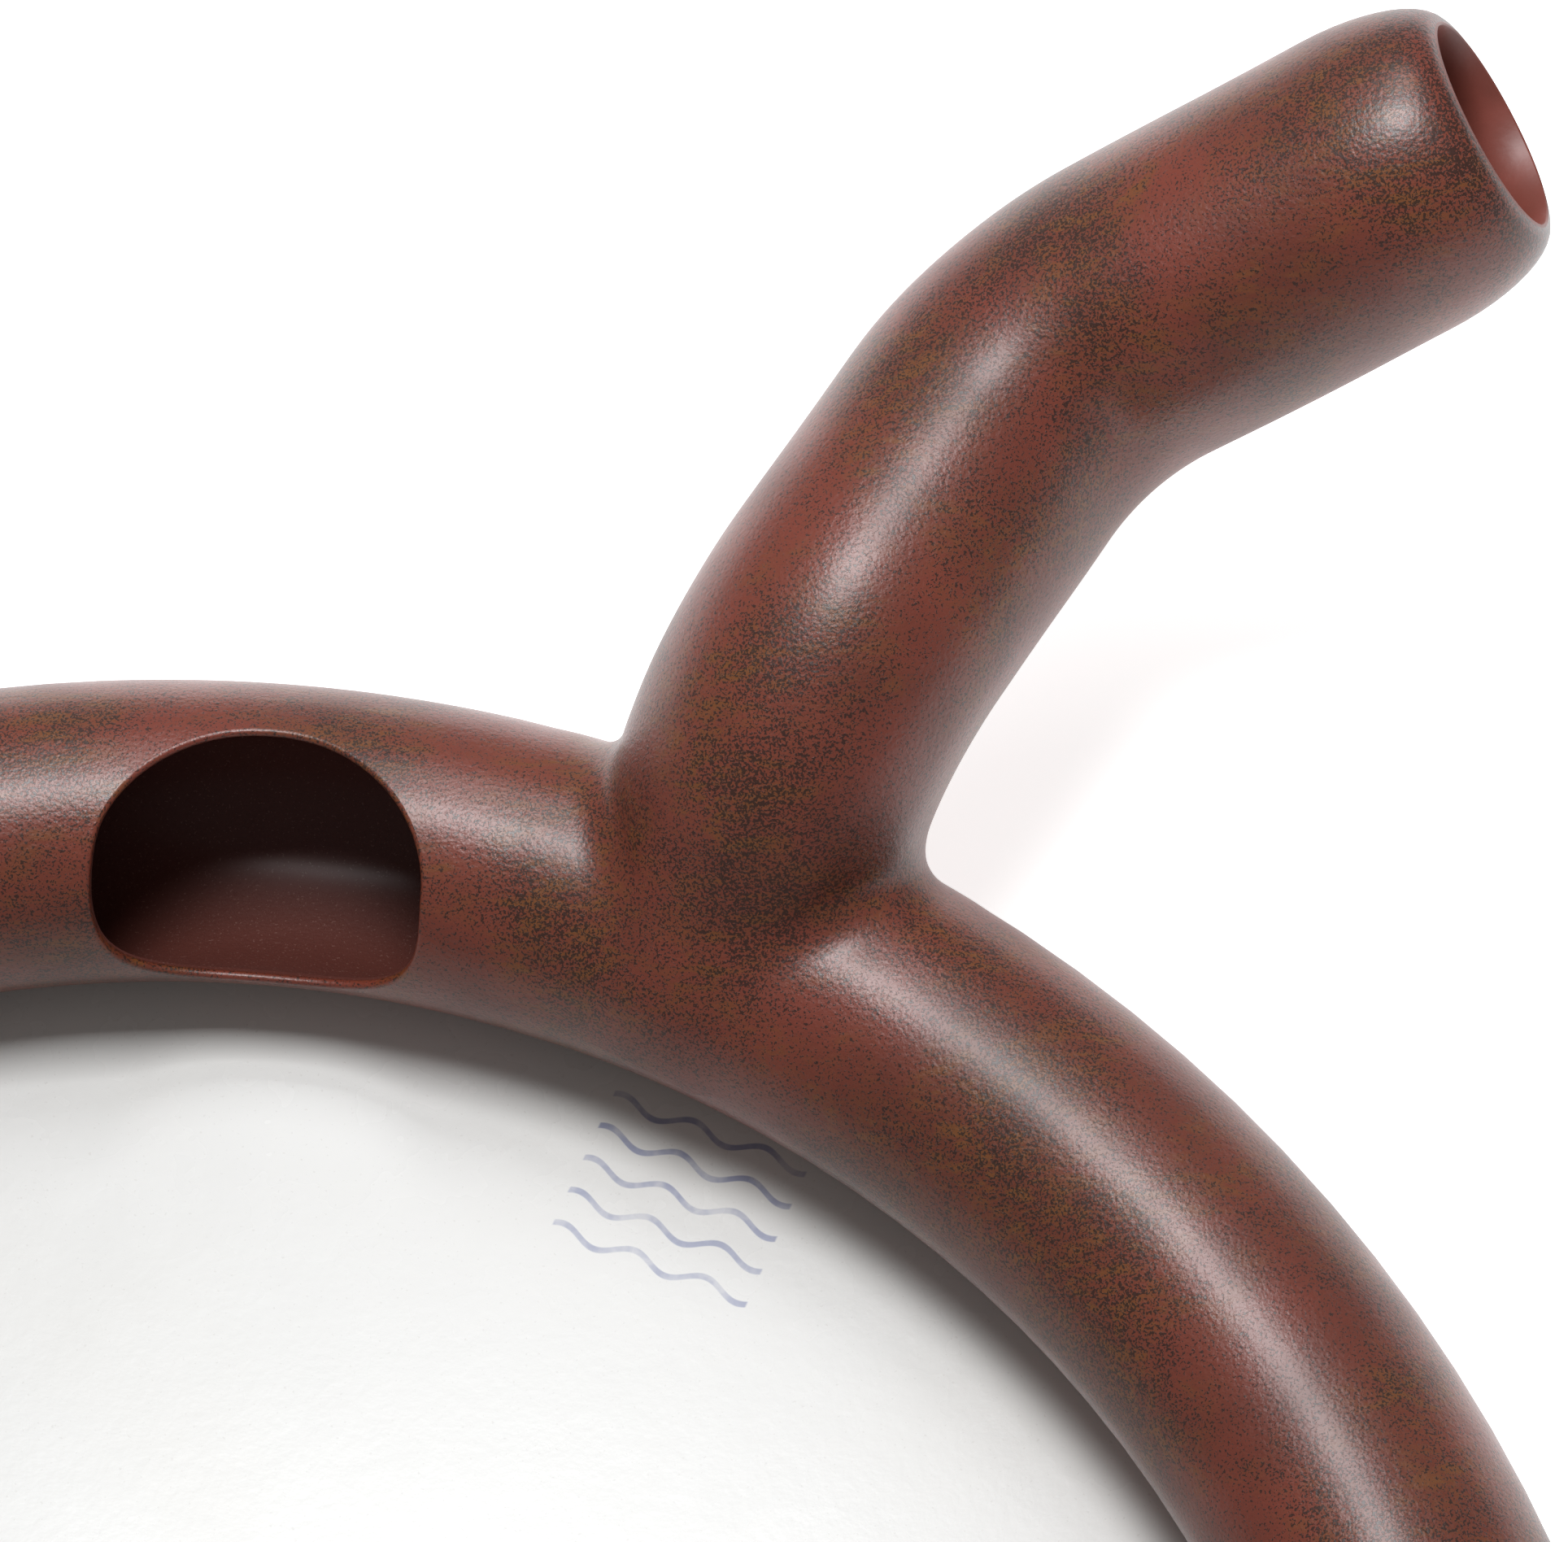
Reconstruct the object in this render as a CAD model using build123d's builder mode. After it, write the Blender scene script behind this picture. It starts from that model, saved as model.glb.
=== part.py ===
from build123d import *
from math import copysign, cos, degrees, hypot, pi, radians, sin
import os

# A bodhran whose round frame is a bent pipe that is blown like a didgeridoo.
# Millimetres, +Z up. The origin is the centre of the skin's playing face, at z = 0:
# the drum lies on its skin and its open back looks up.

# Driving dimensions. Section angles are measured on the ring tube's round section,
# where 0 looks outward, 90 up and 180 to the ring's axis.
ring_outer_dia = 456.7
pipe_dia = 47.7
pipe_wall = 2.2
skin_thick = 0.7
skin_edge_angle = -22
band_thick = 0.8
band_low_angle = -38
band_high_angle = -10
notch_angle = -66
notch_dia = 78
hole_azimuth = 83.2
hole_angle = 133.7
hole_long = 51.3
hole_wide = 38.7
hole_outer_fullness = 2.2    # 2 is an ellipse, more is squarer
hole_inner_fullness = 3.6
hole_lip = 0.7
dam_azimuth = 72.6
dam_thick = 4.5
coupling_azimuth = 262
coupling_length = 60
coupling_wall = 2.0
neck_dia = 49.4
neck_wall = 2.4
root_dia = 46.8
root_length = 30
elbow_bend = 40
knee_bend = 45
mouth_dia = 33.8
mouth_land = 8
shoulder_length = 20
lip_width = 0.6
filler_leg = 4.0
lobe_width = 32
lobe_reach = 70
lobe_rise = 38
lobe_offset = 40
lobe_height = 30

# Sizes that follow from them
pipe_r = pipe_dia / 2
duct_r = pipe_r - pipe_wall
ring_r = (ring_outer_dia - pipe_dia) / 2
ring_z = pipe_r + skin_thick
skin_r = pipe_r + skin_thick
band_r = skin_r + band_thick
neck_r = neck_dia / 2
bore_r = neck_r - neck_wall
root_r = root_dia / 2
mouth_r = mouth_dia / 2

# Centreline of the neck. It starts on the ring's own centreline and leans out of the plane.
neck_root = Vector(92.4, 181.9, ring_z)
neck_elbow = Vector(108.8, 207.7, ring_z + 36.2)
neck_knee = Vector(145.8, 258.3, ring_z + 46.1)
mouth_centre = Vector(213.9, 274.9, ring_z + 84.2)
root_dir = (neck_elbow - neck_root).normalized()
mouth_dir = (mouth_centre - neck_knee).normalized()
root_end = neck_root + root_dir * root_length
barrel_end = mouth_centre - mouth_dir * shoulder_length

os.makedirs("parts", exist_ok=True)


def section_plane(azimuth):
    """Plane of the ring tube's section at an azimuth: x outward, y up."""
    turn = radians(azimuth)
    outward = Vector(cos(turn), sin(turn), 0)
    return Plane(
        origin=outward * ring_r + Vector(0, 0, ring_z),
        x_dir=outward,
        z_dir=Vector(sin(turn), -cos(turn), 0),
    )


def on_outer_wall(edge):
    """True for an edge that lies on the outside of the ring's tube."""
    middle = edge @ 0.5
    return abs(hypot(hypot(middle.X, middle.Y) - ring_r, middle.Z - ring_z) - pipe_r) < 0.02


def arc_band(inner, outer, start, end):
    """Draws part of a round wall, between two radii and two section angles."""
    with BuildSketch(section_plane(0)) as drawn:
        with BuildLine():
            low = CenterArc((0, 0), inner, start, end - start)
            high = CenterArc((0, 0), outer, start, end - start)
            Line(low @ 0, high @ 0)
            Line(low @ 1, high @ 1)
        make_face()
    return drawn.sketch


def hole_point(turn):
    """A point of the sound hole's D-shaped outline: x along the ring, y away from its axis."""
    fullness = hole_outer_fullness if sin(turn) > 0 else hole_inner_fullness
    along = copysign(abs(cos(turn)) ** (2 / fullness), cos(turn))
    across = copysign(abs(sin(turn)) ** (2 / fullness), sin(turn))
    return (along * hole_long / 2, across * hole_wide / 2)


# Outer shapes of the ring and of the neck as plain solids, to trim what meets them
with BuildPart() as ring_body:
    with BuildSketch(section_plane(0)):
        Circle(pipe_r)
    revolve(axis=Axis.Z)

with BuildPart() as neck_body:
    with BuildSketch(Plane(origin=neck_root, z_dir=root_dir)):
        Circle(root_r)
    with BuildSketch(Plane(origin=root_end, z_dir=root_dir)):
        Circle(neck_r)
    loft()
    with BuildLine() as neck_line:
        FilletPolyline(root_end, neck_elbow, neck_knee, barrel_end, radius=[elbow_bend, knee_bend])
    with BuildSketch(Plane(origin=root_end, z_dir=root_dir)):
        Circle(neck_r)
    sweep(path=neck_line.line)

# The air space inside the neck
with BuildPart() as neck_duct:
    with BuildSketch(Plane(origin=neck_root, z_dir=root_dir)):
        Circle(root_r - neck_wall)
    with BuildSketch(Plane(origin=root_end, z_dir=root_dir)):
        Circle(bore_r)
    loft()
    with BuildSketch(Plane(origin=root_end, z_dir=root_dir)):
        Circle(bore_r)
    sweep(path=neck_line.line)

# Neck pipe: saddle-cut to sit on the ring, its end drawn in to a rounded mouth
mouth_side = mouth_dir.cross(Vector(0, 0, 1)).normalized()
mouth_plane = Plane(origin=barrel_end, x_dir=mouth_dir, z_dir=mouth_side)
mouth_axis = Axis(barrel_end, mouth_dir)
with BuildPart() as neck_pipe:
    add(neck_body.part)
    with BuildSketch(mouth_plane):
        with BuildLine():
            shoulder = EllipticalCenterArc(
                (0, mouth_r + lip_width),
                x_radius=shoulder_length,
                y_radius=neck_r - mouth_r - lip_width,
                start_angle=0,
                arc_size=90,
            )
            Polyline(shoulder @ 1, (0, 0), (shoulder_length, 0), shoulder @ 0)
        make_face()
    revolve(axis=mouth_axis)
    add(neck_duct.part, mode=Mode.SUBTRACT)
    with BuildSketch(mouth_plane):
        with BuildLine():
            Polyline(
                (-0.5, 0),
                (-0.5, bore_r),
                (shoulder_length - mouth_land, mouth_r),
                (shoulder_length + 1, mouth_r),
                (shoulder_length + 1, 0),
                close=True,
            )
        make_face()
    revolve(axis=mouth_axis, mode=Mode.SUBTRACT)
    add(ring_body.part, mode=Mode.SUBTRACT)
neck_pipe.part.label = "neck_pipe"
export_step(neck_pipe.part, "parts/neck_pipe.step")

# Ring pipe: one length of pipe bent round, open under the neck and at the sound hole
with BuildPart() as ring_pipe:
    with BuildSketch(section_plane(0)):
        Circle(pipe_r)
        Circle(duct_r, mode=Mode.SUBTRACT)
    revolve(axis=Axis.Z)
    add(neck_duct.part, mode=Mode.SUBTRACT)
    hole_section = section_plane(hole_azimuth)
    lean = radians(hole_angle)
    hole_normal = hole_section.x_dir * cos(lean) + hole_section.y_dir * sin(lean)
    with BuildSketch(Plane(hole_section.origin, x_dir=hole_section.z_dir, z_dir=hole_normal)):
        with BuildLine():
            Spline([hole_point(2 * pi * step / 24) for step in range(24)], periodic=True)
        make_face()
    extrude(amount=pipe_dia, mode=Mode.SUBTRACT)
    fillet(edges(Select.LAST).filter_by(on_outer_wall), radius=hole_lip)
ring_pipe.part.label = "ring_pipe"
export_step(ring_pipe.part, "parts/ring_pipe.step")

# Filler run into the corners between the neck and the ring. The two pipes are nearly the
# same size, so the corner dies out over and under the neck, and the filler is one lobe on
# each side, as thick as its leg along each pipe.
with BuildPart() as ring_sleeve:
    with BuildSketch(section_plane(0)):
        Circle(pipe_r + filler_leg)
    revolve(axis=Axis.Z)

with BuildPart() as neck_sleeve:
    with BuildSketch(Plane(origin=neck_root, z_dir=root_dir)):
        Circle(root_r + filler_leg)
    with BuildSketch(Plane(origin=root_end + root_dir * filler_leg, z_dir=root_dir)):
        Circle(neck_r + filler_leg)
    loft()

along_ring = Vector(root_dir.Y, -root_dir.X, 0).normalized()
for name, side in (("filler_right", 1), ("filler_left", -1)):
    lobe_centre = neck_root + root_dir * lobe_height + along_ring * side * lobe_offset
    with BuildPart() as lobe:
        with BuildSketch(Plane(origin=lobe_centre, x_dir=along_ring, z_dir=root_dir)):
            Rectangle(lobe_reach, lobe_width)
        extrude(amount=lobe_rise, both=True)
        add(ring_sleeve.part, mode=Mode.INTERSECT)
        add(neck_sleeve.part, mode=Mode.INTERSECT)
        add(ring_body.part, mode=Mode.SUBTRACT)
        add(neck_body.part, mode=Mode.SUBTRACT)
    lobe.part.label = name
    export_step(lobe.part, f"parts/{name}.step")

# Air dam: closes the short way round between the neck and the sound hole
with BuildPart() as air_dam:
    with BuildSketch(section_plane(dam_azimuth)):
        Circle(duct_r)
    extrude(amount=dam_thick / 2, both=True)
    add(ring_pipe.part, mode=Mode.SUBTRACT)
air_dam.part.label = "air_dam"
export_step(air_dam.part, "parts/air_dam.step")

# Coupling sleeve inside the joint where the bent pipe's two ends meet
with BuildPart() as ring_coupling:
    with BuildSketch(section_plane(coupling_azimuth)):
        Circle(duct_r)
        Circle(duct_r - coupling_wall, mode=Mode.SUBTRACT)
    revolve(axis=Axis.Z, revolution_arc=degrees(coupling_length / ring_r))
ring_coupling.part.label = "ring_coupling"
export_step(ring_coupling.part, "parts/ring_coupling.step")

# Clearance in the skin and its band where the neck and its filler leave the ring
outward = Vector(neck_root.X, neck_root.Y, 0).normalized()
notch_base = outward * (ring_r + pipe_r * 0.7) + Vector(0, 0, ring_z + pipe_r * sin(radians(notch_angle)))
with BuildPart() as neck_notch:
    with BuildSketch(Plane(origin=notch_base)):
        Circle(notch_dia / 2)
    extrude(amount=pipe_dia)

# Drumhead: skin stretched over the ring's lower crown and glued up its outer side
with BuildPart() as drumhead:
    with BuildSketch(section_plane(0)):
        with BuildLine():
            inner = CenterArc((0, 0), pipe_r, -90, 90 + skin_edge_angle)
            outer = CenterArc((0, 0), skin_r, -90, 90 + skin_edge_angle)
            Line(inner @ 1, outer @ 1)
            Polyline(inner @ 0, (-ring_r, -pipe_r), (-ring_r, -skin_r), outer @ 0)
        make_face()
    revolve(axis=Axis.Z)
    add(neck_notch.part, mode=Mode.SUBTRACT)
drumhead.part.label = "drumhead"
export_step(drumhead.part, "parts/drumhead.step")

# Band glued over the skin's cut edge, half on the skin and half on the pipe
with BuildPart() as skin_band:
    add(arc_band(skin_r, band_r, band_low_angle, skin_edge_angle))
    add(arc_band(pipe_r, band_r, skin_edge_angle, band_high_angle))
    revolve(axis=Axis.Z)
    add(neck_notch.part, mode=Mode.SUBTRACT)
skin_band.part.label = "skin_band"
export_step(skin_band.part, "parts/skin_band.step")
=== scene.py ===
import bpy
import bmesh
import math
from mathutils import Matrix, Vector, noise as fractal


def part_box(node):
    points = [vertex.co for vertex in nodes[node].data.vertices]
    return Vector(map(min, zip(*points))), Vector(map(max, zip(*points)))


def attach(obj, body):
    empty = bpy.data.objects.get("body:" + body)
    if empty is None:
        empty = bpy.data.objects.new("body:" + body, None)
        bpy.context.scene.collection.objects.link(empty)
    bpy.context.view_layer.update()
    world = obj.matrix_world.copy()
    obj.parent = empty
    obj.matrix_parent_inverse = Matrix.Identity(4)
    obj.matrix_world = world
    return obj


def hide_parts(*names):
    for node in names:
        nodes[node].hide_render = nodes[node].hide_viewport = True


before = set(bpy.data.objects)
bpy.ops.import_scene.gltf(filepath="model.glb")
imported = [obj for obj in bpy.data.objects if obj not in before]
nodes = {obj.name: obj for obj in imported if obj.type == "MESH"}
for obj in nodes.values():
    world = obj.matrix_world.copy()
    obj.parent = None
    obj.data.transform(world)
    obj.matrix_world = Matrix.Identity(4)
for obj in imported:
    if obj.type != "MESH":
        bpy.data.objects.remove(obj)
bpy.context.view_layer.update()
print("frame loaded:", sorted(nodes))

# the ring's own sizes, read from the frame
ringLow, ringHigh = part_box("ring_pipe")
pipeR = (ringHigh.z - ringLow.z) / 2
ringR = (ringHigh.x - ringLow.x) / 2 - pipeR
ringZ = (ringHigh.z + ringLow.z) / 2
skinThick = ringLow.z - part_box("drumhead")[0].z


def srgb(red, green, blue):
    channels = []
    for value in (red, green, blue):
        value = value / 255
        channels.append(value / 12.92 if value <= 0.04045 else ((value + 0.055) / 1.055) ** 2.4)
    return (*channels, 1.0)


def smoothStep(low, high, value):
    share = min(1.0, max(0.0, (value - low) / (high - low)))
    return share * share * (3 - 2 * share)


# small helpers for building materials
def addNode(tree, kind, place, **settings):
    node = tree.nodes.new(kind)
    node.location = (place[0] * 190, place[1] * 170)
    for name, value in settings.items():
        setattr(node, name, value)
    return node


def wire(tree, output, node, socket):
    tree.links.new(output, node.inputs[socket])


def noise(tree, vector, place, scale, detail=2.0, roughness=0.5, distortion=0.0):
    node = addNode(tree, "ShaderNodeTexNoise", place)
    node.inputs["Scale"].default_value = scale
    node.inputs["Detail"].default_value = detail
    node.inputs["Roughness"].default_value = roughness
    node.inputs["Distortion"].default_value = distortion
    wire(tree, vector, node, "Vector")
    return node.outputs["Fac"]


def mask(tree, value, place, low, high, first=0.0, last=1.0):
    node = addNode(tree, "ShaderNodeMapRange", place, interpolation_type="SMOOTHSTEP")
    node.inputs["From Min"].default_value = low
    node.inputs["From Max"].default_value = high
    node.inputs["To Min"].default_value = first
    node.inputs["To Max"].default_value = last
    wire(tree, value, node, "Value")
    return node.outputs["Result"]


def compute(tree, operation, place, *values):
    node = addNode(tree, "ShaderNodeMath", place, operation=operation)
    for index, value in enumerate(values):
        if isinstance(value, (int, float)):
            node.inputs[index].default_value = value
        else:
            tree.links.new(value, node.inputs[index])
    return node.outputs[0]


def mixColor(tree, factor, place, first, second, blend="MIX"):
    node = addNode(tree, "ShaderNodeMix", place, data_type="RGBA", blend_type=blend)
    for index, value in ((0, factor), (6, first), (7, second)):
        if isinstance(value, (int, float, tuple)):
            node.inputs[index].default_value = value
        else:
            tree.links.new(value, node.inputs[index])
    return node.outputs[2]


def mapped(tree, vector, place, location=(0, 0, 0), rotation=(0, 0, 0), scale=(1, 1, 1)):
    node = addNode(tree, "ShaderNodeMapping", place)
    node.inputs["Location"].default_value = location
    node.inputs["Rotation"].default_value = rotation
    node.inputs["Scale"].default_value = scale
    wire(tree, vector, node, "Vector")
    return node.outputs["Vector"]


def newGroup(name, inputs, outputs):
    tree = bpy.data.node_groups.new(name, "ShaderNodeTree")
    for label, kind in inputs:
        tree.interface.new_socket(label, in_out="INPUT", socket_type=kind)
    for label, kind in outputs:
        tree.interface.new_socket(label, in_out="OUTPUT", socket_type=kind)
    return tree, addNode(tree, "NodeGroupInput", (-6, 0)), addNode(tree, "NodeGroupOutput", (8, 0))


def newMaterial(name):
    material = bpy.data.materials.new(name)
    material.use_nodes = True
    tree = material.node_tree
    tree.nodes.clear()
    shader = addNode(tree, "ShaderNodeBsdfPrincipled", (6, 0))
    output = addNode(tree, "ShaderNodeOutputMaterial", (8, 0))
    wire(tree, shader.outputs["BSDF"], output, "Surface")
    coords = addNode(tree, "ShaderNodeTexCoord", (-8, 0))
    return material, tree, shader, coords.outputs["Object"]


def bumpFrom(tree, height, shader, place, strength, distance):
    node = addNode(tree, "ShaderNodeBump", place)
    node.inputs["Strength"].default_value = strength
    node.inputs["Distance"].default_value = distance
    wire(tree, height, node, "Height")
    wire(tree, node.outputs["Normal"], shader, "Normal")


# sponged paint: red-brown ground, ochre drags, clustered dark specks
paint = {
    "ground": srgb(124, 58, 44),
    "groundDeep": srgb(103, 47, 33),
    "ochre": srgb(118, 72, 30),
    "speck": srgb(27, 22, 18),
    "mottleScale": 26.0,
    "veilScale": 34.0,
    "strokeScale": 520.0,
    "grainScale": 2400.0,
    "clusterScale": 34.0,
    "peelScale": 1300.0,
    "waveScale": 48.0,
    "dustScale": 2600.0,  # the bare bore of the ring
    # the bore's brown is darker than the ground outside: partly painted shade
    "boreShadedColor": srgb(92, 42, 32),
    "dust": srgb(165, 126, 114),
    "boreRoughness": 0.7,
    "boreFrom": 0.0017,  # how far under the outside the bore's finish begins
    "boreTo": 0.0012,
    "neckBore": srgb(138, 72, 62),
    "neckBoreDeep": srgb(120, 62, 52),
    "neckBoreRoughness": 0.42,
    "coat": 0.22,
    "coatRoughness": 0.28,
    "bump": 0.75,
    "bumpDepth": 0.00015,
}


def spongedPaintGroup():
    tree, entry, result = newGroup(
        "spongedPaint",
        [("Place", "NodeSocketVector"), ("Drag", "NodeSocketVector"), ("PrintAndShade", "NodeSocketFloat")],
        [("Color", "NodeSocketColor"), ("Roughness", "NodeSocketFloat"), ("Height", "NodeSocketFloat")],
    )
    place, drag = entry.outputs["Place"], entry.outputs["Drag"]
    mottle = noise(tree, place, (-4, 3), paint["mottleScale"], 3, 0.6)
    ground = mixColor(
        tree, mask(tree, mottle, (-3, 3), 0.36, 0.66), (-2, 3), paint["ground"], paint["groundDeep"]
    )
    # ochre lies in thin dragged strokes inside broad patches
    veil = noise(tree, place, (-4, 2), paint["veilScale"], 4, 0.6, 0.4)
    patch = mask(tree, veil, (-3, 2), 0.38, 0.62)
    streak = noise(tree, drag, (-4, 1), paint["strokeScale"], 3, 0.6)
    stroke = mask(tree, streak, (-3, 1), 0.42, 0.66, 0.12, 0.8)
    ochreMask = compute(tree, "MULTIPLY", (-2, 1), patch, stroke)
    withOchre = mixColor(tree, ochreMask, (-1, 2), ground, paint["ochre"])
    # the dark sponge print: a fine grain that only shows where the clusters are
    cluster = noise(tree, place, (-4, -1), paint["clusterScale"], 4, 0.62)
    clusterMask = mask(tree, cluster, (-3, -1), 0.38, 0.66)
    # this input crowds the dark specks where the neck lies in shade: painted shade laid over the real print
    clusterMask = compute(tree, "ADD", (-2.5, -1), clusterMask, entry.outputs["PrintAndShade"])
    grain = noise(tree, place, (-4, 0), paint["grainScale"], 1.5, 0.6, 0.4)
    threshold = compute(tree, "MULTIPLY_ADD", (-2, -1), clusterMask, -0.11, 0.6)
    overThreshold = compute(tree, "SUBTRACT", (-1, 0), grain, threshold)
    speckMask = mask(tree, overThreshold, (0, 0), -0.005, 0.03, 0.0, 0.8)
    color = mixColor(tree, speckMask, (2, 1), withOchre, paint["speck"])
    peel = noise(tree, place, (-4, -3), paint["peelScale"], 2, 0.5)
    wave = noise(tree, place, (-4, -4), paint["waveScale"], 2, 0.5)
    relief = compute(tree, "MULTIPLY_ADD", (0, -3), speckMask, 0.35, peel)
    height = compute(tree, "MULTIPLY_ADD", (2, -3), wave, 2.6, relief)
    roughness = mask(tree, mottle, (2, -1), 0.3, 0.7, 0.36, 0.45)
    wire(tree, color, result, "Color")
    wire(tree, roughness, result, "Roughness")
    wire(tree, height, result, "Height")
    return tree


paintGroup = spongedPaintGroup()


def paintMaterial(name, stretch, turn, printAndShade=None):
    material, tree, shader, place = newMaterial(name)
    group = addNode(tree, "ShaderNodeGroup", (-2, 0), node_tree=paintGroup)
    wire(tree, place, group, "Place")
    wire(tree, mapped(tree, place, (-5, -1), rotation=turn, scale=stretch), group, "Drag")
    color, roughness = group.outputs["Color"], group.outputs["Roughness"]
    if printAndShade:
        attribute = addNode(tree, "ShaderNodeAttribute", (-4, 2), attribute_name=printAndShade)
        wire(tree, attribute.outputs["Fac"], group, "PrintAndShade")
    else:
        # the bore of the ring is bare of print: plain brown with pale dust, its brown darker than the outside
        # as painted shade
        parts = addNode(tree, "ShaderNodeSeparateXYZ", (-6, 3))
        wire(tree, place, parts, "Vector")
        flat = addNode(tree, "ShaderNodeVectorMath", (-5, 4), operation="LENGTH")
        wire(tree, mapped(tree, place, (-6, 4), scale=(1, 1, 0)), flat, 0)
        out = compute(tree, "SUBTRACT", (-4, 4), flat.outputs["Value"], ringR)
        up = compute(tree, "SUBTRACT", (-4, 3), parts.outputs["Z"], ringZ)
        upSquare = compute(tree, "MULTIPLY", (-3, 3), up, up)
        square = compute(tree, "MULTIPLY_ADD", (-3, 4), out, out, upSquare)
        fromCentre = compute(tree, "SQRT", (-2, 4), square)
        inBore = mask(tree, fromCentre, (-1, 4), pipeR - paint["boreFrom"], pipeR - paint["boreTo"], 1, 0)
        dust = mask(tree, noise(tree, place, (-2, 3), paint["dustScale"], 1), (-1, 3), 0.66, 0.72, 0, 0.3)
        bareShaded = mixColor(tree, dust, (1, 3), paint["boreShadedColor"], paint["dust"])
        color = mixColor(tree, inBore, (3, 2), color, bareShaded)
        boreRoughness = compute(tree, "MULTIPLY", (2, 0), inBore, paint["boreRoughness"])
        roughness = compute(tree, "MAXIMUM", (3, 0), roughness, boreRoughness)
    wire(tree, color, shader, "Base Color")
    wire(tree, roughness, shader, "Roughness")
    bumpFrom(tree, group.outputs["Height"], shader, (3, -2), paint["bump"], paint["bumpDepth"])
    shader.inputs["Coat Weight"].default_value = paint["coat"]
    shader.inputs["Coat Roughness"].default_value = paint["coatRoughness"]
    return material


ringPaint = paintMaterial("ringPaint", (0.2, 1, 1), (0, 0, math.radians(-55)))
# the neck's extra speck clusters come from its print layer and stand partly for painted shade
neckPaint = paintMaterial("neckPaint", (0.2, 1, 1), (0, 0, math.radians(-55)), "print")
print("paint ready")


# inner plastic of the dam and the coupling
plastic = {"color": srgb(58, 42, 38), "worn": srgb(78, 62, 56), "roughness": 0.5}


def plasticMaterial():
    material, tree, shader, place = newMaterial("innerPlastic")
    cloud = noise(tree, place, (-4, 0), 90, 4, 0.6)
    wear = mask(tree, cloud, (-3, 0), 0.4, 0.65)
    color = mixColor(tree, wear, (-1, 0), plastic["color"], plastic["worn"])
    wire(tree, color, shader, "Base Color")
    shader.inputs["Roughness"].default_value = plastic["roughness"]
    bumpFrom(tree, noise(tree, place, (-4, -2), 900, 2), shader, (3, -2), 0.4, 0.0001)
    return material


def borePaintMaterial():
    material, tree, shader, place = newMaterial("borePaint")
    cloud = mask(tree, noise(tree, place, (-4, 0), 60, 3), (-3, 0), 0.35, 0.65)
    color = mixColor(tree, cloud, (-1, 0), paint["neckBore"], paint["neckBoreDeep"])
    wire(tree, color, shader, "Base Color")
    shader.inputs["Roughness"].default_value = paint["neckBoreRoughness"]
    bumpFrom(tree, noise(tree, place, (-4, -2), 700, 2), shader, (3, -2), 0.4, 0.00008)
    return material


def dress(name, material):
    nodes[name].data.materials.clear()
    nodes[name].data.materials.append(material)


plasticLook = plasticMaterial()
dress("ring_pipe", ringPaint)
dress("air_dam", plasticLook)
dress("ring_coupling", plasticLook)


# the two fields that the hand-blended joint is made from
neck = {
    "root": Vector((0.0924, 0.1819, ringZ)),  # on the ring's centreline
    "elbow": Vector((0.1088, 0.2077, ringZ + 0.0362)),
    "knee": Vector((0.1458, 0.2583, ringZ + 0.0461)),
    "mouth": Vector((0.2139, 0.2749, ringZ + 0.0842)),
    "radius": 0.0247,
    "rootRadius": 0.0234,
    "rootLength": 0.030,
    "elbowBend": 0.040,
    "kneeBend": 0.045,
    "wall": 0.0024,
    "shoulder": 0.020,
    "mouthRadius": 0.0169,
    "lip": 0.0006,
    "around": 144,
    "filletLow": 0.0055,  # reach of the filler at the crotches
    "filletHigh": 0.009,  # and on the open back
    "skirt": 0.021,  # how far the neck's foot runs out over the ring
    "kneeDent": 0.0024,
    "kneeDentReach": 0.015,
    "crease": 0.0002,
    "creaseWidth": 0.0009,
    "creaseLength": 0.004,
    "creaseOffset": 0.005,
    "wobble": 0.00022,
}
toElbow = (neck["elbow"] - neck["root"]).normalized()
toKnee = (neck["knee"] - neck["elbow"]).normalized()
toMouth = (neck["mouth"] - neck["knee"]).normalized()


def bendAt(corner, before, after, radius):
    half = before.angle(after) / 2
    centre = corner + (after - before).normalized() * radius / math.cos(half)
    return {
        "centre": centre,
        "axis": before.cross(after).normalized(),
        "angle": 2 * half,
        "reach": radius * math.tan(half),
        "start": (corner - before * radius * math.tan(half) - centre).normalized(),
    }


elbowTurn = bendAt(neck["elbow"], toElbow, toKnee, neck["elbowBend"])
kneeTurn = bendAt(neck["knee"], toKnee, toMouth, neck["kneeBend"])
elbowStart = (neck["elbow"] - neck["root"]).length - elbowTurn["reach"]


def neckRadius(along):
    share = min(1.0, max(0.0, along / neck["rootLength"]))
    return neck["rootRadius"] + (neck["radius"] - neck["rootRadius"]) * share


def neckField(point):
    along = (point - neck["root"]).dot(toElbow)
    foot = neck["root"] + toElbow * max(0.0, along)
    if along > elbowStart:
        arm = point - elbowTurn["centre"]
        arm -= elbowTurn["axis"] * arm.dot(elbowTurn["axis"])
        turn = math.atan2(arm.dot(elbowTurn["axis"].cross(elbowTurn["start"])), arm.dot(elbowTurn["start"]))
        if turn < elbowTurn["angle"]:
            foot = elbowTurn["centre"] + arm.normalized() * neck["elbowBend"]
        else:
            foot = neck["elbow"] + toKnee * (point - neck["elbow"]).dot(toKnee)
    out = point - foot
    return out.length - neckRadius(along), out.normalized()


def ringField(point):
    outward = Vector((point.x, point.y, 0)).normalized()
    out = point - outward * ringR - Vector((0, 0, ringZ))
    return out.length - pipeR, out.normalized()


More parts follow.
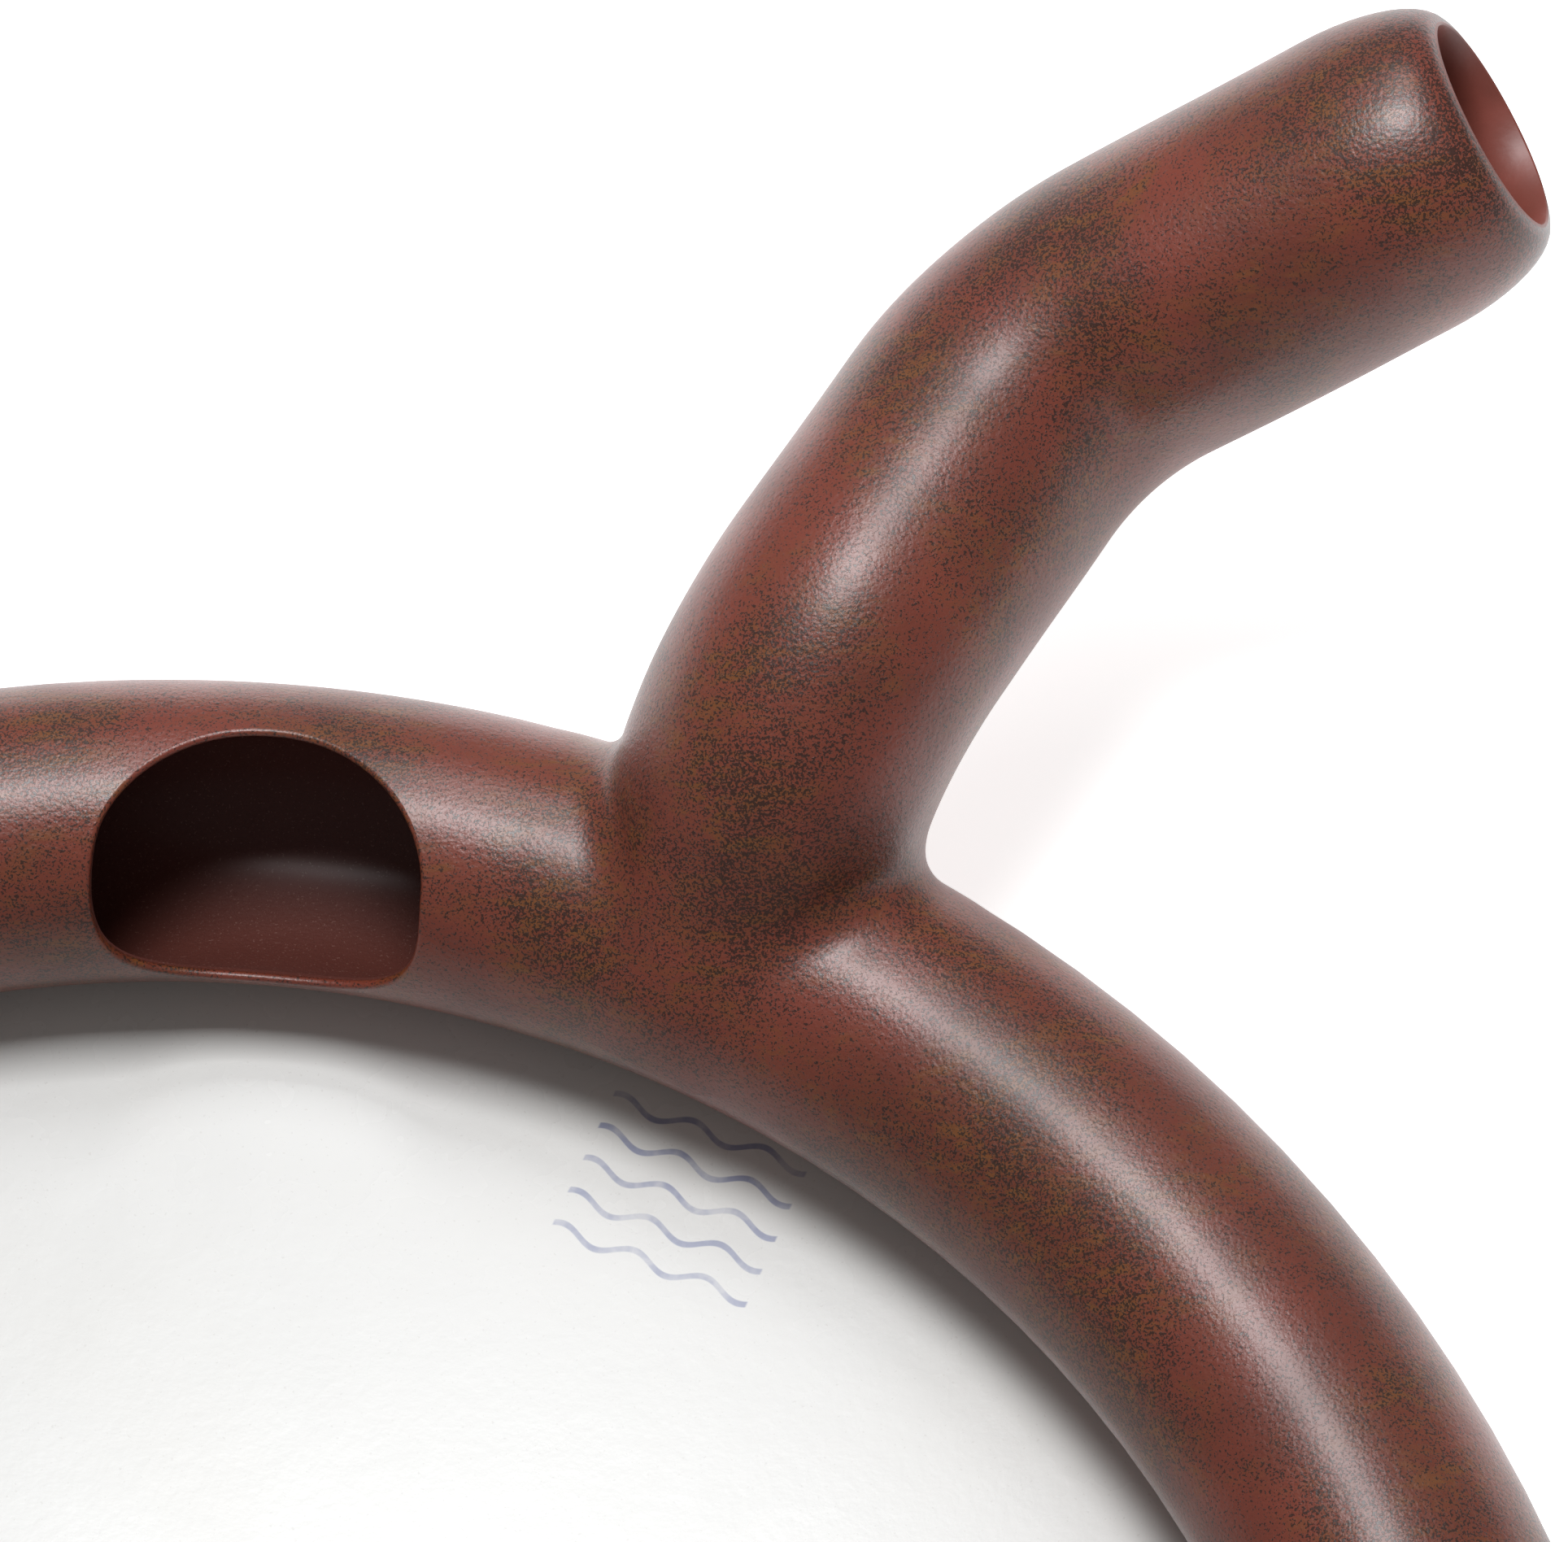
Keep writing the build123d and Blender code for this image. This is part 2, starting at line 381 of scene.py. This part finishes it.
def settle(point):
    # carries a point onto the smooth surface that joins the two pipes
    for _ in range(8):
        neckGap, neckOut = neckField(point)
        ringGap, ringOut = ringField(point)
        rise = smoothStep(0.0, 0.018, point.z - ringZ)
        reach = neck["filletLow"] + (neck["filletHigh"] - neck["filletLow"]) * rise
        reach = max(0.004, reach * (1 - neckOut.dot(ringOut)))
        lean = min(1.0, max(0.0, 0.5 + 0.5 * (ringGap - neckGap) / reach))
        gap = ringGap * (1 - lean) + neckGap * lean - reach * lean * (1 - lean)
        point = point - (ringOut * (1 - lean) + neckOut * lean).normalized() * gap
    return point


def saddleAlong(outward):
    # how far up the neck its wall leaves the ring, looking in one direction
    low, high = 0.0, elbowStart
    for _ in range(24):
        middle = (low + high) / 2
        wall = neck["root"] + toElbow * middle + outward * neckRadius(middle)
        if ringField(wall)[0] < 0:
            low = middle
        else:
            high = middle
    return low


def extrudeRim(shape, rim):
    made = bmesh.ops.extrude_edge_only(shape, edges=rim)["geom"]
    corners = [item for item in made if isinstance(item, bmesh.types.BMVert)]
    edges = [item for item in made if isinstance(item, bmesh.types.BMEdge) and item.is_boundary]
    return corners, edges


def runOn(shape, rim, move, steps):
    for _ in range(steps):
        corners, rim = extrudeRim(shape, rim)
        bmesh.ops.translate(shape, verts=corners, vec=move / steps)
    return corners, rim


def turnOn(shape, rim, bend, angle, steps):
    made = bmesh.ops.spin(
        shape, geom=rim, cent=bend["centre"], axis=bend["axis"], angle=angle, steps=steps, use_duplicate=False
    )["geom_last"]
    corners = [item for item in made if isinstance(item, bmesh.types.BMVert)]
    edges = [item for item in made if isinstance(item, bmesh.types.BMEdge)]
    return corners, edges


def swell(corners, centre, axis, grow):
    for corner in corners:
        arm = corner.co - centre
        flat = arm - axis * arm.dot(axis)
        corner.co += flat * (grow - 1)


def meanOf(corners):
    total = Vector()
    for corner in corners:
        total += corner.co
    return total / len(corners)


def finishMesh(name, shape, materials, smooth=True):
    mesh = bpy.data.meshes.new(name)
    shape.to_mesh(mesh)
    shape.free()
    for material in materials:
        mesh.materials.append(material)
    for face in mesh.polygons:
        face.use_smooth = smooth
    piece = bpy.data.objects.new(name, mesh)
    bpy.context.collection.objects.link(piece)
    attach(piece, "root")
    return piece


def buildNeck():
    shape = bmesh.new()
    start = neck["root"] + toElbow * elbowStart
    facing = toElbow.to_track_quat("Z", "Y").to_matrix().to_4x4()
    first = bmesh.ops.create_circle(
        shape,
        cap_ends=False,
        radius=neck["radius"],
        segments=neck["around"],
        matrix=Matrix.Translation(start) @ facing,
    )["verts"]
    firstRim = list({edge for corner in first for edge in corner.link_edges})

    # outward: elbow, straight, knee and the barrel of the mouth
    straight = (neck["knee"] - neck["elbow"]).length - elbowTurn["reach"] - kneeTurn["reach"]
    barrel = (neck["mouth"] - neck["knee"]).length - kneeTurn["reach"] - neck["shoulder"]
    corners, rim = turnOn(shape, firstRim, elbowTurn, elbowTurn["angle"], 18)
    corners, rim = runOn(shape, rim, toKnee * straight, 16)
    corners, rim = turnOn(shape, rim, kneeTurn, kneeTurn["angle"], 40)
    corners, rim = runOn(shape, rim, toMouth * barrel, 18)

    # down to the saddle, then out over the ring as a skirt
    foot, footRim = list(first), firstRim
    drops = 10
    for step in range(1, drops + 1):
        foot, footRim = extrudeRim(shape, footRim)
        for corner in foot:
            arm = corner.co - neck["root"]
            outward = (arm - toElbow * arm.dot(toElbow)).normalized()
            end = saddleAlong(outward)
            along = elbowStart + (end - elbowStart) * step / drops
            corner.co = neck["root"] + toElbow * along + outward * neckRadius(along)
    spread = 20
    heading = {}
    for step in range(1, spread + 1):
        earlier = {}
        for edge in footRim:
            for corner in edge.verts:
                earlier[corner.co.copy().freeze()] = heading.get(corner)
        foot, footRim = extrudeRim(shape, footRim)
        newHeading = {}
        for corner in foot:
            ringOut = ringField(corner.co)[1]
            way = earlier[corner.co.copy().freeze()]
            if way is None:
                way = neckField(corner.co)[1]
            way = (way - ringOut * way.dot(ringOut)).normalized()
            newHeading[corner] = way
            moved = corner.co + way * neck["skirt"] / spread
            gap, ringOut = ringField(moved)
            corner.co = moved - ringOut * gap
        heading = newHeading

    # blend, and let the skirt's edge slip under the ring's paint
    for corner in shape.verts:
        if ringField(corner.co)[0] < 0.04:
            corner.co = settle(corner.co)
            ringGap, ringOut = ringField(corner.co)
            neckGap = neckField(corner.co)[0]
            if ringGap < 0.002:
                sink = smoothStep(0.009, 0.0205, neckGap)
                corner.co += ringOut * (0.00006 - 0.0003 * sink)

    # the pipe was bent hot: a hollow inside the knee, and an uneven wall all along
    across = kneeTurn["axis"]
    middle = (neck["knee"] - kneeTurn["centre"]).normalized()
    inner = kneeTurn["centre"] + middle * (neck["kneeBend"] - neck["radius"])
    middleSide = across.cross(middle)
    shape.normal_update()
    for corner in shape.verts:
        ringGap = ringField(corner.co)[0]
        free = smoothStep(0.004, 0.02, ringGap)
        if free <= 0:
            continue
        toInner = corner.co - inner
        dent = neck["kneeDent"] * math.exp(-((toInner.length / neck["kneeDentReach"]) ** 2))
        offCrease = toInner.dot(middleSide)
        alongCrease = toInner.dot(across) + neck["creaseOffset"]
        crease = neck["crease"] * math.exp(-((offCrease / neck["creaseWidth"]) ** 2))
        crease *= math.exp(-((alongCrease / neck["creaseLength"]) ** 2))
        crease *= smoothStep(0.02, 0.012, toInner.length)
        wave = fractal.noise(corner.co * 38) * neck["wobble"] * free
        corner.co += (inner - kneeTurn["centre"]).normalized() * (dent * free)
        corner.co += corner.normal * (wave + crease)

    # weights of extra dark specks on the neck, partly painted shade; filled in below
    printAndShade = shape.verts.layers.float.new("print")
    # the mouth's shoulder, its thin lip and the bore behind it
    for step in range(1, 13):
        before = math.sin(math.pi / 2 * (step - 1) / 12)
        after = math.sin(math.pi / 2 * step / 12)
        drop = neck["radius"] - neck["mouthRadius"] - neck["lip"]
        widthBefore = neck["mouthRadius"] + neck["lip"] + drop * math.sqrt(max(0, 1 - before * before))
        widthAfter = neck["mouthRadius"] + neck["lip"] + drop * math.sqrt(max(0, 1 - after * after))
        corners, rim = extrudeRim(shape, rim)
        bmesh.ops.translate(shape, verts=corners, vec=toMouth * neck["shoulder"] * (after - before))
        swell(corners, meanOf(corners), toMouth, widthAfter / widthBefore)
    painted = set(shape.faces)
    rimWidth = neck["mouthRadius"] + neck["lip"]
    for width, depth in (
        (neck["mouthRadius"] + 0.0002, 0.0002),
        (neck["mouthRadius"], -0.0003),
        (neck["mouthRadius"], -0.0075),
        (neck["mouthRadius"] + 0.0012, -0.0025),
        (neck["radius"] - neck["wall"], -0.0065),
    ):
        corners, rim = extrudeRim(shape, rim)
        bmesh.ops.translate(shape, verts=corners, vec=toMouth * depth)
        swell(corners, meanOf(corners), toMouth, width / rimWidth)
        rimWidth = width
    back = meanOf(corners) - neck["knee"]
    corners, rim = runOn(shape, rim, toMouth * (kneeTurn["reach"] - back.dot(toMouth)), 6)
    corners, rim = turnOn(shape, rim, kneeTurn, -kneeTurn["angle"], 14)
    corners, rim = runOn(shape, rim, toKnee * -straight, 4)
    corners, rim = turnOn(shape, rim, elbowTurn, -elbowTurn["angle"], 10)
    corners, rim = runOn(shape, rim, toElbow * -0.012, 2)
    for face in shape.faces:
        face.material_index = 0 if face in painted else 1

    # where the dark speck clusters are thickest, partly sponge print and partly painted shade: the mouth's
    # shoulder, the knee and the neck's foot
    footShadeSpot = neck["root"] + Vector((0.006, -0.002, 0.030))
    kneeShadeSpot = neck["knee"] + Vector((-0.006, 0, 0.02))
    for corner in shape.verts:
        toMouthEnd = (neck["mouth"] - corner.co).dot(toMouth)
        shoulderShade = math.exp(-((toMouthEnd / 0.007) ** 2)) if (corner.co - neck["mouth"]).length < 0.06 else 0
        kneeShade = math.exp(-(((corner.co - kneeShadeSpot).length / 0.02) ** 2))
        footShade = math.exp(-(((corner.co - footShadeSpot).length / 0.02) ** 2))
        corner[printAndShade] = 0.9 * shoulderShade + 0.45 * kneeShade + 0.5 * footShade
    bmesh.ops.remove_doubles(shape, verts=shape.verts, dist=0.000005)
    bmesh.ops.recalc_face_normals(shape, faces=shape.faces)
    piece = finishMesh("neck", shape, [neckPaint, borePaintMaterial()])
    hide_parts("neck_pipe", *[name for name in nodes if "filler" in name])
    return piece


neckPiece = buildNeck()
print("neck built:", len(neckPiece.data.polygons), "faces")

# drumhead: skin stretched under the ring and glued up its outer side
skin = {
    "edgeAngle": -22.0,
    "notchAngle": -66.0,
    "notchHalf": 0.039,
    "thick": skinThick,
    "around": 360,
    "color": srgb(229, 228, 225),
    "warm": srgb(225, 222, 216),
    "ink": srgb(120, 128, 168),
    "pore": srgb(150, 140, 128),
    "coat": 0.12,
    "coatRoughness": 0.08,
    "stampCentre": (0.0859, 0.1493),
    "stampTurn": 24.0,
    "rippleRate": 520.0,
    "rippleHeight": 0.0011,
    "rippleGap": 0.003,  # half the distance from one ripple to the next
    "lineHalf": 0.0004,
    "stampHalfWidth": 0.0165,
    "stampHalfHeight": 0.0138,
}
neckAzimuth = math.atan2(neck["root"].y, neck["root"].x)


def notchDepth(azimuth, halfWidth):
    # 0 away from the neck and 1 right under it
    turn = azimuth - neckAzimuth
    apart = math.atan2(math.sin(turn), math.cos(turn)) * (ringR + pipeR * 0.7)
    return smoothStep(halfWidth + 0.004, halfWidth - 0.012, abs(apart))


def skinMaterial():
    material, tree, shader, place = newMaterial("skin")
    cloud = noise(tree, place, (-5, 3), 14, 2, 0.5)
    base = mixColor(tree, mask(tree, cloud, (-4, 3), 0.4, 0.7, 0, 0.3), (-2, 3), skin["color"], skin["warm"])
    pores = mask(tree, noise(tree, place, (-5, 2), 1500, 1, 0.5), (-4, 2), 0.68, 0.76, 0, 0.14)
    base = mixColor(tree, pores, (-1, 3), base, skin["pore"])
    # generic stamp: a plain block of ripples, printed unevenly
    stampX, stampY = skin["stampCentre"]
    centred = mapped(tree, place, (-7, 0), location=(-stampX, -stampY, 0), scale=(1, 1, 0))
    turned = mapped(tree, centred, (-6, 0), rotation=(0, 0, math.radians(skin["stampTurn"])))
    parts = addNode(tree, "ShaderNodeSeparateXYZ", (-5, -1))
    wire(tree, turned, parts, "Vector")
    uneven = noise(tree, place, (-6, -2), 160, 3, 0.6)
    phase = compute(tree, "MULTIPLY", (-4.5, -1), parts.outputs["X"], skin["rippleRate"])
    ripple = compute(tree, "MULTIPLY", (-3, -1), compute(tree, "SINE", (-4, -1.5), phase), skin["rippleHeight"])
    offRow = compute(tree, "ADD", (-2.5, -1), parts.outputs["Y"], ripple)
    shifted = compute(tree, "ADD", (-2.2, -1.4), offRow, skin["rippleGap"])
    row = compute(tree, "PINGPONG", (-2, -1), shifted, skin["rippleGap"])
    offLine = compute(tree, "SUBTRACT", (-1.9, -1.2), row, skin["rippleGap"])
    offLine = compute(tree, "ABSOLUTE", (-1.8, -1), offLine)
    rowLine = mask(tree, offLine, (-1.5, -1), skin["lineHalf"], skin["lineHalf"] + 0.00025, 1, 0)
    high, wide = skin["stampHalfHeight"], skin["stampHalfWidth"]
    inRows = mask(tree, compute(tree, "ABSOLUTE", (-2, -2), offRow), (-1.5, -2), high, high + 0.0003, 1, 0)
    fromMiddle = compute(tree, "ABSOLUTE", (-2, -3), parts.outputs["X"])
    inWidth = mask(tree, fromMiddle, (-1.5, -3), wide, wide + 0.0004, 1, 0)
    inBlock = compute(tree, "MULTIPLY", (-1, -2), inRows, inWidth)
    motif = compute(tree, "MULTIPLY", (-0.5, -1), rowLine, inBlock)
    ink = compute(tree, "MULTIPLY", (1, -1), motif, mask(tree, uneven, (0, -2), 0.3, 0.62, 0.3, 0.75))
    wire(tree, mixColor(tree, ink, (3, 1), base, skin["ink"]), shader, "Base Color")
    sheen = noise(tree, place, (-5, -4), 60, 3, 0.6)
    wire(tree, mask(tree, sheen, (-4, -4), 0.3, 0.7, 0.25, 0.29), shader, "Roughness")
    height = compute(tree, "MULTIPLY_ADD", (-2, -5), sheen, 3.0, noise(tree, place, (-5, -5), 700, 3, 0.6))
    bumpFrom(tree, height, shader, (3, -4), 0.5, 0.00003)
    shader.inputs["Coat Weight"].default_value = skin["coat"]
    shader.inputs["Coat Roughness"].default_value = skin["coatRoughness"]
    return material


def buildSkin():
    shape = bmesh.new()
    hub = bmesh.ops.create_vert(shape, co=Vector((0, 0, skin["thick"])))["vert"][0]
    tip = [hub]
    flatSteps = 26
    for _ in range(flatSteps):
        made = bmesh.ops.extrude_vert_indiv(shape, verts=tip)
        tip = made["verts"]
        bmesh.ops.translate(shape, verts=tip, vec=Vector((ringR / flatSteps, 0, 0)))
    bmesh.ops.spin(
        shape,
        geom=tip,
        cent=Vector((ringR, 0, ringZ)),
        axis=Vector((0, -1, 0)),
        angle=math.radians(90 + skin["edgeAngle"]),
        steps=20,
        use_duplicate=False,
    )
    bmesh.ops.spin(
        shape,
        geom=shape.verts[:] + shape.edges[:],
        cent=Vector((0, 0, 0)),
        axis=Vector((0, 0, 1)),
        angle=math.radians(360),
        steps=skin["around"],
        use_merge=True,
        use_duplicate=False,
    )
    bmesh.ops.remove_doubles(shape, verts=shape.verts, dist=0.00001)
    for corner in shape.verts:
        reach = math.hypot(corner.co.x, corner.co.y)
        if reach <= ringR + 0.0001:
            continue
        azimuth = math.atan2(corner.co.y, corner.co.x)
        angle = math.degrees(math.atan2(corner.co.z - ringZ, reach - ringR))
        cut = notchDepth(azimuth, skin["notchHalf"])
        edge = skin["edgeAngle"] + (skin["notchAngle"] - skin["edgeAngle"]) * cut
        share = (angle + 90) / (90 + skin["edgeAngle"])
        angle = math.radians(-90 + share * (edge + 90))
        around = Vector((math.cos(azimuth) * 40, math.sin(azimuth) * 40, 3))
        pucker = 0.00012 * share * share * (1 + fractal.noise(around))
        away = pipeR + pucker
        reach = ringR + away * math.cos(angle)
        height = ringZ + away * math.sin(angle)
        corner.co = Vector((reach * math.cos(azimuth), reach * math.sin(azimuth), height))
    bmesh.ops.recalc_face_normals(shape, faces=shape.faces)
    middle = min(shape.faces, key=lambda face: face.calc_center_median().length)
    if middle.normal.z < 0:
        bmesh.ops.reverse_faces(shape, faces=shape.faces)
    piece = finishMesh("skinHead", shape, [skinMaterial()])
    wall = piece.modifiers.new("thickness", "SOLIDIFY")
    wall.thickness = skin["thick"]
    wall.offset = -1
    wall.use_even_offset = True
    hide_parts("drumhead")
    return piece


skinPiece = buildSkin()
print("skin built:", len(skinPiece.data.polygons), "faces")

# band: woven strip glued over the skin's cut edge
band = {
    "low": -38.0,
    "high": -10.0,
    "thick": 0.0008,
    "around": 360,
    "yarn": srgb(58, 36, 29),
    "yarnLight": srgb(92, 62, 50),
    "yarnPitch": 0.0011,
}


def bandMaterial():
    material, tree, shader, place = newMaterial("wovenBand")
    coords = addNode(tree, "ShaderNodeUVMap", (-8, -1), uv_map="weave")
    parts = addNode(tree, "ShaderNodeSeparateXYZ", (-7, -1))
    wire(tree, coords.outputs["UV"], parts, "Vector")
    turn = math.pi / band["yarnPitch"]
    warp = compute(tree, "SINE", (-5, -1), compute(tree, "MULTIPLY", (-6, -1), parts.outputs["X"], turn))
    weft = compute(tree, "SINE", (-5, -2), compute(tree, "MULTIPLY", (-6, -2), parts.outputs["Y"], turn))
    over = compute(tree, "MULTIPLY", (-4, -1), warp, weft)
    tone = mask(tree, over, (-3, -1), -0.6, 0.6)
    fuzz = noise(tree, place, (-4, 1), 600, 3, 0.7)
    shade = compute(tree, "MULTIPLY", (-2, 0), tone, mask(tree, fuzz, (-3, 1), 0.3, 0.7, 0.5, 1))
    color = mixColor(tree, shade, (0, 0), band["yarn"], band["yarnLight"])
    wire(tree, color, shader, "Base Color")
    shader.inputs["Roughness"].default_value = 0.85
    bumpFrom(tree, over, shader, (3, -2), 0.7, 0.00025)
    return material


def buildBand():
    shape = bmesh.new()
    lowAngle = math.radians(band["low"])
    away = pipeR + skin["thick"]
    place = Vector((ringR + away * math.cos(lowAngle), 0, ringZ + away * math.sin(lowAngle)))
    edge = bmesh.ops.create_vert(shape, co=place)["vert"]
    bmesh.ops.spin(
        shape,
        geom=edge,
        cent=Vector((ringR, 0, ringZ)),
        axis=Vector((0, -1, 0)),
        angle=math.radians(band["high"] - band["low"]),
        steps=12,
        use_duplicate=False,
    )
    gapHalf = (skin["notchHalf"] + 0.0005) / (ringR + pipeR * 0.8)
    begin = Matrix.Rotation(neckAzimuth + gapHalf, 3, "Z")
    bmesh.ops.rotate(shape, verts=shape.verts, cent=Vector(), matrix=begin)
    bmesh.ops.spin(
        shape,
        geom=shape.verts[:] + shape.edges[:],
        cent=Vector((0, 0, 0)),
        axis=Vector((0, 0, 1)),
        angle=2 * math.pi - 2 * gapHalf,
        steps=band["around"],
        use_duplicate=False,
    )
    weave = shape.loops.layers.uv.new("weave")
    for corner in shape.verts:
        outward = Vector((corner.co.x, corner.co.y, 0)).normalized()
        out = corner.co - outward * ringR - Vector((0, 0, ringZ))
        angle = math.degrees(math.atan2(out.z, out.dot(outward)))
        # it steps down off the skin's edge on to the pipe
        step = smoothStep(-23.0, -20.0, angle)
        corner.co -= out.normalized() * (skin["thick"] - 0.00005) * step
    bmesh.ops.recalc_face_normals(shape, faces=shape.faces)
    some = next(iter(shape.faces))
    if some.normal.dot(ringField(some.calc_center_median())[1]) < 0:
        bmesh.ops.reverse_faces(shape, faces=shape.faces)
    for face in shape.faces:
        centre = face.calc_center_median()
        faceTurn = math.atan2(centre.y, centre.x) - neckAzimuth
        for loop in face.loops:
            turn = math.atan2(loop.vert.co.y, loop.vert.co.x) - neckAzimuth
            turn = faceTurn + math.atan2(math.sin(turn - faceTurn), math.cos(turn - faceTurn))
            outward = Vector((loop.vert.co.x, loop.vert.co.y, 0)).normalized()
            out = loop.vert.co - outward * ringR - Vector((0, 0, ringZ))
            angle = math.atan2(out.z, out.dot(outward))
            loop[weave].uv = (turn * ringR * 1.11, angle * away)
    piece = finishMesh("edgeBand", shape, [bandMaterial()])
    wall = piece.modifiers.new("thickness", "SOLIDIFY")
    wall.thickness = band["thick"]
    wall.offset = 1
    wall.use_even_offset = True
    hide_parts("skin_band")
    return piece


buildBand()
print("band built")

# floor, light and camera
stageLook = {
    "floorSide": 6.0,
    "floorDrop": 0.0004,
    "floor": srgb(250, 250, 250),
    "glow": 0.74,
    "world": 0.21,
    "light": (0.97, 0.985, 1.0),
    "mainPower": 10.6,
    "backPower": 3.2,
    "lens": 149.4,
    "sensor": 36,
    "cameraPlace": (0.10409, -0.26906, 0.91089 + ringZ),
    "cameraTurn": (27.832, 0.725, -1.372),
}


def makeFloor():
    mesh = bpy.data.meshes.new("floor")
    shape = bmesh.new()
    bmesh.ops.create_grid(shape, x_segments=1, y_segments=1, size=stageLook["floorSide"] / 2)
    bmesh.ops.translate(shape, verts=shape.verts, vec=Vector((0, 0, -stageLook["floorDrop"])))
    shape.to_mesh(mesh)
    shape.free()
    floor = bpy.data.objects.new("floor", mesh)
    bpy.context.collection.objects.link(floor)
    material, tree, shader, place = newMaterial("floorPaper")
    shader.inputs["Base Color"].default_value = stageLook["floor"]
    shader.inputs["Roughness"].default_value = 0.9
    shader.inputs["Emission Color"].default_value = (1, 1, 1, 1)
    shader.inputs["Emission Strength"].default_value = stageLook["glow"]
    mesh.materials.append(material)


def addSoftbox(name, place, aim, width, depth, power):
    light = bpy.data.lights.new(name, "AREA")
    light.shape = "RECTANGLE"
    light.size = width
    light.size_y = depth
    light.energy = power
    light.color = stageLook["light"]
    lamp = bpy.data.objects.new(name, light)
    bpy.context.collection.objects.link(lamp)
    lamp.location = place
    lamp.rotation_euler = (Vector(aim) - Vector(place)).to_track_quat("-Z", "Y").to_euler()


def makeLight():
    world = bpy.data.worlds.new("studio")
    world.use_nodes = True
    background = world.node_tree.nodes["Background"]
    background.inputs["Color"].default_value = (1.0, 1.0, 1.0, 1)
    background.inputs["Strength"].default_value = stageLook["world"]
    bpy.context.scene.world = world
    addSoftbox("mainSoftbox", (-0.02, 0.34, 1.2), (-0.02, 0.34, 0.0), 0.36, 0.38, stageLook["mainPower"])
    addSoftbox("backSoftbox", (0.06, 0.95, 1.2), (0.06, 0.6, 0.0), 0.32, 0.45, stageLook["backPower"])


def makeCamera():
    camera = bpy.data.cameras.new("camera")
    camera.sensor_width = stageLook["sensor"]
    camera.lens = stageLook["lens"]
    holder = bpy.data.objects.new("camera", camera)
    bpy.context.collection.objects.link(holder)
    holder.location = stageLook["cameraPlace"]
    holder.rotation_euler = [math.radians(turn) for turn in stageLook["cameraTurn"]]
    bpy.context.scene.camera = holder


makeFloor()
makeLight()
makeCamera()
bpy.context.scene.view_settings.view_transform = "Standard"
print("stage ready")
